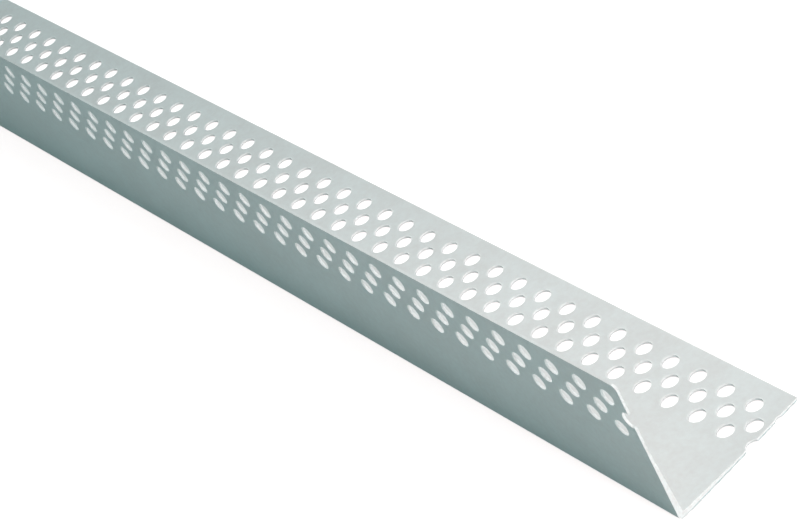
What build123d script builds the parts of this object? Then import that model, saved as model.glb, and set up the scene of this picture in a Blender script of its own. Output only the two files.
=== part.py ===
"""Perforated vinyl corner bead: one moulded angle of two thin legs, one stock length, cut by hand at its +X end.

Millimetres. X runs along the bead, the lying leg is flat on Z = 0 and the standing leg rises from its -Y side.
"""
import os

from build123d import *

os.makedirs("parts", exist_ok=True)

# Moulded section, the same for both legs
length = 2438.4
leg_width = 31.75
edge_thickness = 0.5
root_thickness = 1.2
nose_radius = 0.8
inner_radius = 0.5

# Perforation: staggered rows of keying holes along the outer half of each leg
hole_diameter = 3.4
hole_pitch = 7.8
row_spacing = 3.6
row_count = 3
lying_margin = 5.3
standing_margin = 4.4

# From the cut end to the first hole of the outer row
lying_lead = 8.8
standing_lead = 5.0

# Plain land beyond the holes: at the factory end, and between the innermost row and the thicker root
end_land = 3.0
root_land = 1.0

# Hand cut at the +X end: how far each leg's free corner is set back, and the rounding of the standing one
lying_setback = 3.0
standing_setback = 0.6
cut_corner_radius = 1.2

hole_radius = hole_diameter / 2
rows_depth = max(lying_margin, standing_margin) + (row_count - 1) * row_spacing + hole_radius
root_width = leg_width - rows_depth - root_land
cut_root = root_thickness + inner_radius
corner_y = -leg_width / 2
free_edge_y = corner_y + leg_width
cut_end = length / 2
factory_end = -length / 2


def row_centres(lead, free_edge, margin):
    """Centres of one leg's staggered rows, counted back from the cut end; the first may be cut open by it."""
    centres = []
    for row in range(row_count):
        across = free_edge - margin - row * row_spacing
        shift = hole_pitch / 2 if row % 2 else 0
        along = cut_end - lead - shift
        while along + hole_pitch - hole_radius < cut_end:
            along += hole_pitch
        while along - hole_radius > factory_end + end_land:
            centres.append((along, across))
            along -= hole_pitch
    return centres


# Each leg's outer face, which way its thickness goes from there, its corner, margin, lead and setback
lying_leg = (Plane.XY, 1, corner_y, lying_margin, lying_lead, lying_setback)
standing_leg = (Plane.XZ.offset(-corner_y), -1, 0, standing_margin, standing_lead, standing_setback)

with BuildPart() as corner_bead:
    # Section: flat outer faces at a right angle; inside, each leg thins from the root to its perforated band
    with BuildSketch(Plane.YZ.offset(factory_end)) as section:
        with BuildLine():
            Polyline(
                (corner_y, 0),
                (free_edge_y, 0),
                (free_edge_y, edge_thickness),
                (corner_y + root_width, edge_thickness),
                (corner_y + root_thickness, root_thickness),
                (corner_y + edge_thickness, root_width),
                (corner_y + edge_thickness, leg_width),
                (corner_y, leg_width),
                close=True,
            )
        make_face()
        fillet(section.vertices().sort_by_distance((corner_y, 0))[0], nose_radius)
        inner_corner = (corner_y + root_thickness, root_thickness)
        fillet(section.vertices().sort_by_distance(inner_corner)[0], inner_radius)
    extrude(amount=length)

    # Hand cut: a slanting snip out along each leg from its root
    for outer_face, inward, corner, _, _, setback in (lying_leg, standing_leg):
        free_edge = corner + leg_width
        with BuildSketch(outer_face):
            with BuildLine():
                Polyline(
                    (cut_end, corner + cut_root),
                    (cut_end - setback, free_edge),
                    (cut_end, free_edge),
                    close=True,
                )
            make_face()
        extrude(amount=inward * root_thickness, mode=Mode.SUBTRACT)
    free_corner = corner_bead.edges().filter_by(Axis.Y).group_by(Axis.Z)[-1].sort_by(Axis.X)[-1]
    fillet(free_corner, cut_corner_radius)

    # Keying holes of each leg
    for outer_face, inward, corner, margin, lead, _ in (lying_leg, standing_leg):
        with BuildSketch(outer_face):
            with Locations(*row_centres(lead, corner + leg_width, margin)):
                Circle(hole_radius)
        extrude(amount=inward * root_thickness, mode=Mode.SUBTRACT)

corner_bead.part.label = "corner_bead"
export_step(corner_bead.part, "parts/corner_bead.step")
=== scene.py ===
"""Looks of the perforated vinyl corner bead: its vinyl, a pale floor, soft studio light and the camera.

Metres, in the part's own frame: X along the bead, the lying leg flat on Z = 0, the standing leg on its -Y side.
"""
import math

import bmesh
import bpy
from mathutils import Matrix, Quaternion, Vector
from mathutils import noise as lattice


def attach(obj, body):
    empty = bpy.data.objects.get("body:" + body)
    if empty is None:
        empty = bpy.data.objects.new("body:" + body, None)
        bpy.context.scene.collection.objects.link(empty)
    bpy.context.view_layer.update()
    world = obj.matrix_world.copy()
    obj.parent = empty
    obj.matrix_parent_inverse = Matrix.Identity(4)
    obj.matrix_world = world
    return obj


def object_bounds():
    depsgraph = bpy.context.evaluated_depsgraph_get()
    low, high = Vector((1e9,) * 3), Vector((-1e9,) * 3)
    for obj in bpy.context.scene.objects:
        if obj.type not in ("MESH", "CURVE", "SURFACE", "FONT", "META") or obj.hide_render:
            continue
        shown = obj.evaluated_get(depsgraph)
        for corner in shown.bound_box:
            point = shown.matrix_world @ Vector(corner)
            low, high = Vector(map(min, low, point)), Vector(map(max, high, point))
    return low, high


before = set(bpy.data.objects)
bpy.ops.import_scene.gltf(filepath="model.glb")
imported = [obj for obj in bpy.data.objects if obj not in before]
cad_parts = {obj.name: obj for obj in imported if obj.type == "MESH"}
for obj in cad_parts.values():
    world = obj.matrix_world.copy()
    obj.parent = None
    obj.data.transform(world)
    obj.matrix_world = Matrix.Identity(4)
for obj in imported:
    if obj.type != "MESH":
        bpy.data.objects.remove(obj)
cad_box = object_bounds()
low, high = cad_box
MIDDLE = Vector((0.0, 0.0, 0.0))
CUT_CORNER = Vector((high.x, low.y, 0.0))

# Camera, measured from the outer corner of the cut end
CAMERA_OFFSET = Vector((0.3510, -0.1579, 0.3334))
TARGET_OFFSET = Vector((-0.1103, 0.0187, 0.0))
CAMERA_ROLL = math.radians(27.53)
LENS = 133.1
SENSOR = 36.0
CLIP_START = 0.01
CLIP_END = 50.0

# Colours of the vinyl: moulded skin, the paler surface of a punch or cut, a painted contact shade at the foot of its
# walls, the torn lip painted in shade
SKIN_LIGHT = (0.715, 0.733, 0.728, 1.0)
SKIN_DARK = (0.670, 0.666, 0.658, 1.0)
CUT_LIGHT = (0.93, 0.94, 0.94, 1.0)
CUT_DARK = (0.86, 0.84, 0.83, 1.0)
CONTACT_SHADE_COLOUR = (0.36, 0.47, 0.47, 1.0)
# The torn lip's two colours are a painted shade, darker and cooler than the vinyl
TORN_SHADE_LIGHT = (0.62, 0.74, 0.74, 1.0)
TORN_SHADE_DARK = (0.38, 0.50, 0.50, 1.0)

# Gloss of the vinyl: die lines and cuts add to the skin's roughness
VINYL_IOR = 1.53
VINYL_SPECULAR = 0.45
SKIN_ROUGHNESS = (0.36, 0.46)
DIE_LINE_ROUGHNESS = 0.08
CUT_ROUGHNESS = 0.2
TORN_ROUGHNESS = (0.5, 0.8)

# Grain of the vinyl: scale and detail of each noise, its share in a blend, and the depth and strength of the bump
NOISE_ROUGHNESS = 0.55
MOTTLE_SCALE = 70.0
MOTTLE_DETAIL = 3.0
GRAIN_SCALE = 900.0
SNIP_SCALE = 1500.0
GRAIN_DETAIL = 2.0
TEAR_DETAIL = 4.0
DIE_LINE_SCALE = 1400.0
DIE_LINE_STRETCH = 4.0
DIE_LINE_DETAIL = 1.0
MOTTLE_SHARE = 0.6
GRAIN_SHARE = 0.6
BUMP_HEIGHT = 0.00003
SKIN_BUMP = 0.5
TORN_BUMP = 0.6

# The span of a noise over which its effect grows from none to full
NOISE_STOPS = (0.3, 0.7)
PATCH_STOPS = (0.38, 0.62)
SPECK_STOPS = (0.35, 0.6)
TEAR_STOPS = (0.35, 0.65)

# Cut surfaces, told by their normals: fully pale within END_CUT_DEPTH of an end, and darkened with a painted contact
# shade at the foot of their walls
CROSSWISE_STOPS = (0.05, 0.15)
UPRIGHT_STOPS = (0.6, 0.4)
END_CUT_DEPTH = 0.004
PUNCHED_PALENESS = 0.8
# The next two: the height and the darkness of the painted contact shade at the foot of cut walls
ARRIS_HEIGHT = 0.00016
CONTACT_SHADE_STRENGTH = 0.85

# Pale rims, partly edge rubbing and partly a painted highlight along edges and round the holes, found by how far a
# rounded normal strays from the surface's own
RIM_RADIUS = 0.0006
RIM_SAMPLES = 4
RIM_STOPS = (0.995, 0.90)
RIM_WEAR_AND_HIGHLIGHT = (0.55, 1.0)
END_RIM_WEAR_AND_HIGHLIGHT = 0.35
MOULDED_RIM_WEAR_AND_HIGHLIGHT = 0.25

# Cut of the lying leg, from its root to its free edge, and the two holes that it opens
CUT_ROOT = 0.0017
CUT_SETBACK = 0.003
CUT_START = Vector((high.x, low.y + CUT_ROOT, 0.0))
CUT_FINISH = Vector((high.x - CUT_SETBACK, high.y, 0.0))
OPENED_RADIUS = 0.0017
OPENED_SETBACK = 0.001
OPENED_ROWS = (0.01925, 0.02645)
OPENED_HOLES = [Vector((high.x - OPENED_SETBACK, low.y + row, 0.0)) for row in OPENED_ROWS]

# Torn lip under that cut: LIP_SPAN is the share of the cut that it runs along, LIP_SEAT how far it goes into the leg
LIP_STEPS = 260
LIP_SPAN = (0.04, 0.985)
LIP_HEIGHT = 0.00012
LIP_SEAT = 0.00004
LIP_WIDTH = 0.00024
LIP_USUAL_SHARE = 0.45
LIP_RAGGEDNESS = 900.0

# Floor and ambient light
WHITE = (1.0, 1.0, 1.0, 1.0)
FLOOR_SIZE = 14.0
FLOOR_DROP = 0.0002
FLOOR_COLOUR = (0.88, 0.91, 0.91, 1.0)
FLOOR_ROUGHNESS = 0.9
FLOOR_SPECULAR = 0.1
FLOOR_LIFT = 0.81
FLOOR_LIFT_COLOUR = (1.0, 0.885, 0.88, 1.0)
AMBIENT_COLOUR = (0.60, 0.94, 0.95, 1.0)
AMBIENT_STRENGTH = 0.315

# Lamps: name, the point that place and target are measured from, place, target, size, watts, colour, sheen
COOL_LIGHT = (0.93, 1.0, 1.0)
WARM_LIGHT = (1.0, 0.87, 0.86)
LAMPS = (
    ("overhead", MIDDLE, (0.1, 0.9, 1.5), (0.0, 0.0, 0.0), (3.4, 1.2), 11.1, COOL_LIGHT, True),
    ("far_end", MIDDLE, (-1.1, 0.9, 1.5), (-1.1, 0.0, 0.0), (1.2, 1.2), 9.0, WARM_LIGHT, False),
    ("near_end", CUT_CORNER, (-0.02, 0.10, 0.22), (-0.02, 0.016, 0.0), (0.15, 0.15), 0.30, WARM_LIGHT, False),
    ("end_fill", CUT_CORNER, (1.2, 0.06, 0.26), (0.0, 0.0, 0.0), (0.3, 0.3), 7.8, WARM_LIGHT, False),
)


def add_object(name, data):
    """An object of the scene that holds data."""
    obj = bpy.data.objects.new(name, data)
    bpy.context.scene.collection.objects.link(obj)
    return obj


def add_node(tree, kind, **values):
    """A shader node with its named inputs or properties set; a value may be another node's output."""
    node = tree.nodes.new(kind)
    for name, value in values.items():
        if hasattr(node, name):
            setattr(node, name, value)
        elif isinstance(value, bpy.types.NodeSocket):
            tree.links.new(value, node.inputs[name])
        else:
            node.inputs[name].default_value = value
    return node


def fill(tree, sockets, values):
    """Gives each socket its value, which is a plain value or another node's output."""
    for socket, value in zip(sockets, values):
        if isinstance(value, bpy.types.NodeSocket):
            tree.links.new(value, socket)
        else:
            socket.default_value = value


def math_node(tree, operation, *values):
    """The result of one Math node; each value is a number or another node's output."""
    node = add_node(tree, "ShaderNodeMath", operation=operation)
    fill(tree, node.inputs, values)
    return node.outputs[0]


def blend(tree, first, second, share):
    """Weighted mean of two factors; share is the first one's weight."""
    weighted = math_node(tree, "MULTIPLY", first, share)
    return math_node(tree, "ADD", weighted, math_node(tree, "MULTIPLY", second, 1 - share))


def ramp(tree, factor, stops, values=(0.0, 1.0)):
    """Maps factor from the two stops to the two values, clamped."""
    node = add_node(tree, "ShaderNodeMapRange", clamp=True, Value=factor)
    node.inputs["From Min"].default_value, node.inputs["From Max"].default_value = stops
    node.inputs["To Min"].default_value, node.inputs["To Max"].default_value = values
    return node.outputs["Result"]


def mix_colour(tree, factor, first, second):
    """Colour mix; factor is an output, the colours are values or outputs."""
    node = add_node(tree, "ShaderNodeMix", data_type="RGBA")
    factor_socket, colour_sockets = node.inputs[0], node.inputs[6:8]
    fill(tree, (factor_socket, *colour_sockets), (factor, first, second))
    return node.outputs[2]


def noise(tree, coordinates, scale, detail):
    """Fractal noise, as a factor output."""
    node = add_node(tree, "ShaderNodeTexNoise", Scale=scale, Detail=detail, Roughness=NOISE_ROUGHNESS)
    tree.links.new(coordinates, node.inputs["Vector"])
    return node.outputs["Fac"]


def add_bump(tree, shader, height, strength):
    """Fine relief of the shader's surface, from a factor output."""
    bump = add_node(tree, "ShaderNodeBump", Strength=strength, Distance=BUMP_HEIGHT, Height=height)
    tree.links.new(bump.outputs["Normal"], shader.inputs["Normal"])


def camera_choice(tree, others, seen):
    """One shader where the camera sees it and another for all other rays."""
    choice = tree.nodes.new("ShaderNodeMixShader")
    is_seen = tree.nodes.new("ShaderNodeLightPath").outputs["Is Camera Ray"]
    fill(tree, choice.inputs, (is_seen, others.outputs[0], seen.outputs[0]))
    return choice.outputs[0]


def new_material(name):
    """An empty node material with its output and a Principled shader."""
    material = bpy.data.materials.new(name)
    material.use_nodes = True
    tree = material.node_tree
    tree.nodes.clear()
    output = tree.nodes.new("ShaderNodeOutputMaterial")
    shader = tree.nodes.new("ShaderNodeBsdfPrincipled")
    tree.links.new(shader.outputs["BSDF"], output.inputs["Surface"])
    return material, tree, shader, output


def cut_masks(tree, place, grain):
    """Where the vinyl is pale, because it is cut or punched, rubbed at its rims or given a painted highlight there,
    and where the foot of a cut wall is darkened with a painted contact shade.
    """
    geometry = tree.nodes.new("ShaderNodeNewGeometry")
    facing = add_node(tree, "ShaderNodeSeparateXYZ", Vector=geometry.outputs["True Normal"])
    spot = add_node(tree, "ShaderNodeSeparateXYZ", Vector=place)
    from_middle = math_node(tree, "ABSOLUTE", spot.outputs["X"])
    end_start = high.x - END_CUT_DEPTH
    end_stops = (end_start, end_start + ARRIS_HEIGHT)

    crosswise = ramp(tree, math_node(tree, "ABSOLUTE", facing.outputs["X"]), CROSSWISE_STOPS)
    paleness = ramp(tree, from_middle, end_stops, (PUNCHED_PALENESS, 1.0))
    cut_face = math_node(tree, "MULTIPLY", crosswise, paleness)

    # Painted contact shade: the lowest part of every upright cut wall, off the outer face, is darkened as if
    # shadowed where it meets the floor
    upright = ramp(tree, math_node(tree, "ABSOLUTE", facing.outputs["Z"]), UPRIGHT_STOPS)
    outer_face_stops = (low.y + ARRIS_HEIGHT, low.y + 2 * ARRIS_HEIGHT)
    off_outer_face = ramp(tree, spot.outputs["Y"], outer_face_stops)
    edge_wall = math_node(tree, "MULTIPLY", upright, math_node(tree, "MAXIMUM", off_outer_face, crosswise))
    foot = ramp(tree, spot.outputs["Z"], (ARRIS_HEIGHT, ARRIS_HEIGHT / 3), (0.0, CONTACT_SHADE_STRENGTH))
    contact_shade = math_node(tree, "MULTIPLY", edge_wall, foot)

    # Pale rims: partly rubbing at the edges, partly a painted highlight on the cut edges and a painted halo round
    # each hole
    rounded = add_node(tree, "ShaderNodeBevel", samples=RIM_SAMPLES, Radius=RIM_RADIUS)
    agreement = add_node(tree, "ShaderNodeVectorMath", operation="DOT_PRODUCT")
    fill(tree, agreement.inputs, (rounded.outputs["Normal"], geometry.outputs["Normal"]))
    rim = ramp(tree, agreement.outputs["Value"], RIM_STOPS)
    near_end = ramp(tree, from_middle, end_stops, (1.0, END_RIM_WEAR_AND_HIGHLIGHT))
    top_stops = (high.z - 2 * RIM_RADIUS, high.z - RIM_RADIUS)
    moulded_edge = ramp(tree, spot.outputs["Z"], top_stops, (1.0, MOULDED_RIM_WEAR_AND_HIGHLIGHT))
    least = math_node(tree, "MINIMUM", near_end, moulded_edge)
    rim_wear_and_highlight = math_node(tree, "MULTIPLY", least, ramp(tree, grain, SPECK_STOPS, RIM_WEAR_AND_HIGHLIGHT))
    rubbed_and_highlit_rim = math_node(tree, "MULTIPLY", rim, rim_wear_and_highlight)
    return math_node(tree, "MAXIMUM", cut_face, rubbed_and_highlit_rim), contact_shade


def vinyl_material():
    """Satin vinyl: mottled skin with die lines along X, paler and rougher on punched and cut surfaces."""
    material, tree, shader, _ = new_material("vinyl")
    place = tree.nodes.new("ShaderNodeTexCoord").outputs["Object"]
    mottle = noise(tree, place, MOTTLE_SCALE, MOTTLE_DETAIL)
    grain = noise(tree, place, GRAIN_SCALE, GRAIN_DETAIL)
    snipped = noise(tree, place, SNIP_SCALE, GRAIN_DETAIL)
    die_scale = (DIE_LINE_STRETCH, DIE_LINE_SCALE, DIE_LINE_SCALE)
    stretched = add_node(tree, "ShaderNodeMapping", Vector=place, Scale=die_scale)
    die_lines = noise(tree, stretched.outputs["Vector"], 1.0, DIE_LINE_DETAIL)
    pale, contact_shade = cut_masks(tree, place, grain)

    patches = blend(tree, mottle, grain, MOTTLE_SHARE)
    skin = mix_colour(tree, ramp(tree, patches, PATCH_STOPS), SKIN_DARK, SKIN_LIGHT)
    cut = mix_colour(tree, ramp(tree, snipped, SPECK_STOPS), CUT_DARK, CUT_LIGHT)
    finish = mix_colour(tree, pale, skin, cut)
    # The foot of cut walls is darkened to a painted contact shade
    tree.links.new(mix_colour(tree, contact_shade, finish, CONTACT_SHADE_COLOUR), shader.inputs["Base Color"])

    mottled = ramp(tree, mottle, NOISE_STOPS, SKIN_ROUGHNESS)
    lined = ramp(tree, die_lines, NOISE_STOPS, (0.0, DIE_LINE_ROUGHNESS))
    skin_roughness = math_node(tree, "ADD", mottled, lined)
    cut_roughness = math_node(tree, "MULTIPLY", pale, CUT_ROUGHNESS)
    tree.links.new(math_node(tree, "ADD", skin_roughness, cut_roughness), shader.inputs["Roughness"])
    shader.inputs["IOR"].default_value = VINYL_IOR
    shader.inputs["Specular IOR Level"].default_value = VINYL_SPECULAR
    add_bump(tree, shader, blend(tree, grain, die_lines, GRAIN_SHARE), SKIN_BUMP)
    return material


def torn_lip_shade_material():
    """The thin torn lip of a hand cut: uneven and rough all over, its dark teal-grey a painted shade of the lip
    under the cut.
    """
    material, tree, shader, _ = new_material("torn_vinyl_painted_shade")
    place = tree.nodes.new("ShaderNodeTexCoord").outputs["Object"]
    tears = noise(tree, place, SNIP_SCALE, TEAR_DETAIL)
    colour = mix_colour(tree, ramp(tree, tears, TEAR_STOPS), TORN_SHADE_DARK, TORN_SHADE_LIGHT)
    tree.links.new(colour, shader.inputs["Base Color"])
    tree.links.new(ramp(tree, tears, NOISE_STOPS, TORN_ROUGHNESS), shader.inputs["Roughness"])
    add_bump(tree, shader, tears, TORN_BUMP)
    return material


def floor_material():
    """Matt pale floor, lifted to white where the camera sees it, with its shadows kept."""
    material, tree, shader, output = new_material("studio_floor")
    shader.inputs["Base Color"].default_value = FLOOR_COLOUR
    shader.inputs["Roughness"].default_value = FLOOR_ROUGHNESS
    shader.inputs["Specular IOR Level"].default_value = FLOOR_SPECULAR
    lift = add_node(tree, "ShaderNodeEmission", Color=FLOOR_LIFT_COLOUR, Strength=FLOOR_LIFT)
    nothing = add_node(tree, "ShaderNodeEmission", Strength=0.0)
    lifted = tree.nodes.new("ShaderNodeAddShader")
    fill(tree, lifted.inputs, (shader.outputs["BSDF"], camera_choice(tree, nothing, lift)))
    tree.links.new(lifted.outputs[0], output.inputs["Surface"])
    return material


def add_floor():
    """A wide level plane just under the bead."""
    half = FLOOR_SIZE / 2
    corners = [(x, y, -FLOOR_DROP) for x, y in ((-half, -half), (half, -half), (half, half), (-half, half))]
    mesh = bpy.data.meshes.new("floor")
    mesh.from_pydata(corners, [], [(0, 1, 2, 3)])
    mesh.materials.append(floor_material())
    floor = add_object("floor", mesh)


def lip_reach(foot):
    """How far the lip stands out of the cut at foot: ragged, and never past the bead's end."""
    ragged = LIP_WIDTH * (LIP_USUAL_SHARE + (1 - LIP_USUAL_SHARE) * lattice.noise(foot * LIP_RAGGEDNESS))
    return max(LIP_SEAT, min(ragged, high.x - foot.x - LIP_SEAT))


def add_cut_lip():
    """The thin lip that snips left along the lower edge of the lying leg's cut, broken off at the opened holes."""
    along = (CUT_FINISH - CUT_START).normalized()
    outward = Vector((along.y, -along.x, 0.0))
    first, last = LIP_SPAN
    lip = bmesh.new()
    ring = None
    for step in range(LIP_STEPS + 1):
        foot = CUT_START.lerp(CUT_FINISH, first + (last - first) * step / LIP_STEPS)
        if min((foot - hole).length for hole in OPENED_HOLES) < OPENED_RADIUS:
            if ring:
                lip.faces.new(ring)
            ring = None
            continue
        inner = foot - outward * LIP_SEAT
        top = inner + Vector((0.0, 0.0, LIP_HEIGHT))
        tip = foot + outward * lip_reach(foot)
        before, ring = ring, [lip.verts.new(place) for place in (top, inner, tip)]
        if before:
            for side in range(len(ring)):
                after = (side + 1) % len(ring)
                lip.faces.new((before[side], before[after], ring[after], ring[side]))
        else:
            lip.faces.new(ring)
    if ring:
        lip.faces.new(ring)
    bmesh.ops.recalc_face_normals(lip, faces=lip.faces)
    mesh = bpy.data.meshes.new("cut_lip")
    lip.to_mesh(mesh)
    lip.free()
    mesh.materials.append(torn_lip_shade_material())
    piece = add_object("cut_lip", mesh)
    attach(piece, "root")


def aim(obj, target):
    """Turns obj so that its -Z points at target."""
    obj.rotation_mode = "QUATERNION"
    obj.rotation_quaternion = (target - obj.location).to_track_quat("-Z", "Y")


def add_lamp(name, origin, place, target, size, power, colour, sheen):
    """A soft rectangular lamp; without sheen it leaves no reflection along the bead."""
    data = bpy.data.lights.new(name, "AREA")
    data.shape = "RECTANGLE"
    data.size, data.size_y = size
    data.energy = power
    data.color = colour
    lamp = add_object(name, data)
    lamp.location = origin + Vector(place)
    lamp.visible_glossy = sheen
    aim(lamp, origin + Vector(target))


def add_world():
    """Cool even ambient light; the camera sees white beyond the floor."""
    world = bpy.data.worlds.new("studio")
    world.use_nodes = True
    tree = world.node_tree
    tree.nodes.clear()
    output = tree.nodes.new("ShaderNodeOutputWorld")
    ambient = add_node(tree, "ShaderNodeBackground", Color=AMBIENT_COLOUR, Strength=AMBIENT_STRENGTH)
    white = add_node(tree, "ShaderNodeBackground", Color=WHITE, Strength=1.0)
    tree.links.new(camera_choice(tree, ambient, white), output.inputs["Surface"])
    bpy.context.scene.world = world


def add_camera():
    """The photograph's viewpoint: above the cut end, outside the standing leg, rolled to the right."""
    data = bpy.data.cameras.new("camera")
    data.sensor_width = SENSOR
    data.lens = LENS
    data.clip_start = CLIP_START
    data.clip_end = CLIP_END
    camera = add_object("camera", data)
    camera.location = CUT_CORNER + CAMERA_OFFSET
    aim(camera, CUT_CORNER + TARGET_OFFSET)
    camera.rotation_quaternion @= Quaternion((0.0, 0.0, 1.0), -CAMERA_ROLL)
    bpy.context.scene.camera = camera


vinyl = vinyl_material()
for material_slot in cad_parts["corner_bead"].material_slots:
    material_slot.link = "OBJECT"
    material_slot.material = vinyl

add_cut_lip()
add_floor()
add_world()
for lamp in LAMPS:
    add_lamp(*lamp)
add_camera()
bpy.context.scene.view_settings.view_transform = "Standard"
